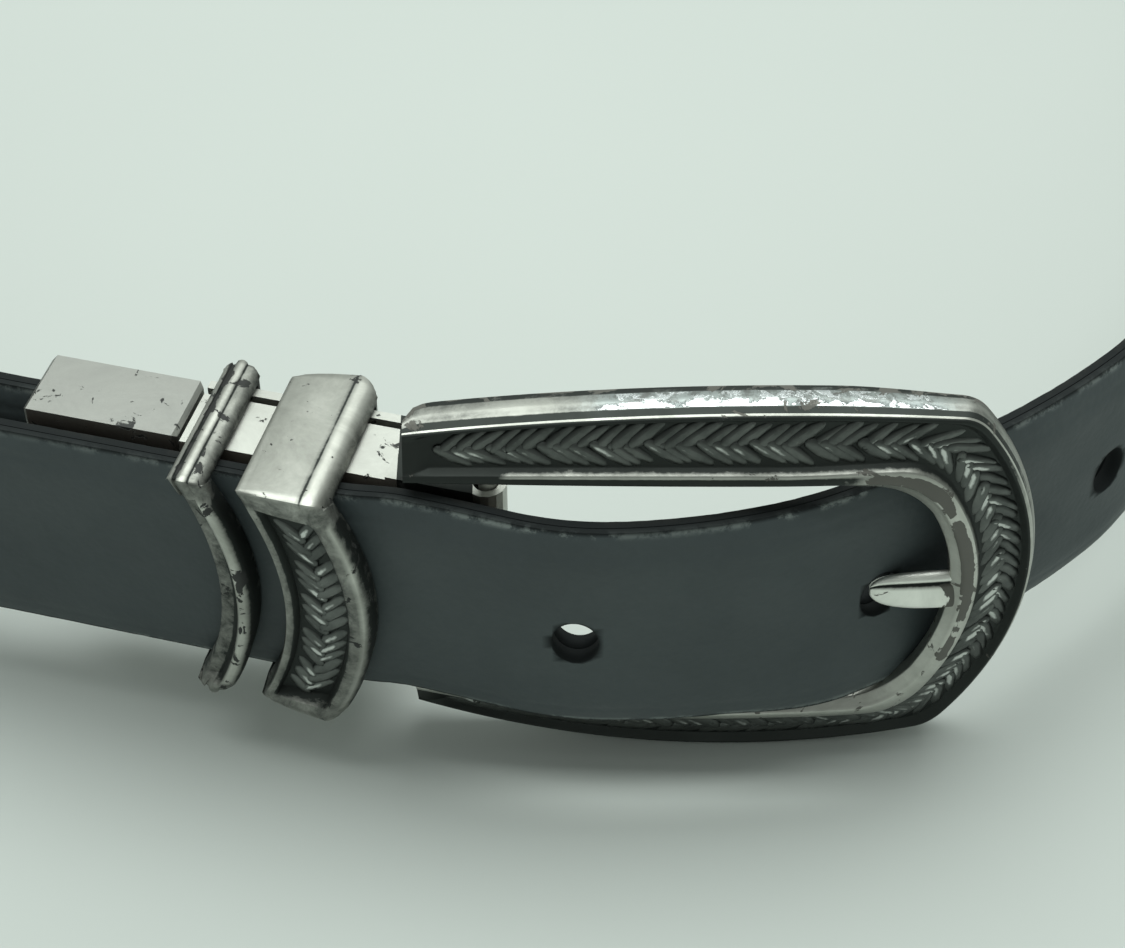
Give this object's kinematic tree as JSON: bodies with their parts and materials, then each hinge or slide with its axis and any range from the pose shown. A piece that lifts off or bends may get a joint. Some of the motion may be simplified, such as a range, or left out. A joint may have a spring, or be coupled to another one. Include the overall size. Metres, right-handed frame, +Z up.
{
  "type": "reversible belt",
  "caption": "Reversible leather belt, fastened: D-shaped swivel buckle with braided channel and fixed prong, clamp block, plain and braided keepers.",
  "frame": {"origin": "middle of the fastened belt's bounding box in plan, on the surface it stands on", "axes": "+X along the buckle frame from its open end to its round end, +Y from the buckle's face back through the loop, +Z up"},
  "size_m": [0.2502, 0.2694, 0.0449],
  "materials": {
    "black_leather": "fine grain, worn at the edges",
    "brown_leather": "fine grain",
    "antique_silver": "silver plating with dark patina in the recesses",
    "satin_silver": "satin silver plating",
    "dark_steel": "bare"
  },
  "bodies": {
    "root": {"strap_black_ply": "black_leather", "strap_brown_ply": "brown_leather", "buckle_frame": "antique_silver", "clamp_block": "satin_silver", "swivel_post": "dark_steel", "keeper_carrier": "satin_silver", "keeper_plain": "antique_silver", "keeper_braided": "antique_silver"}
  },
  "joints": []
}
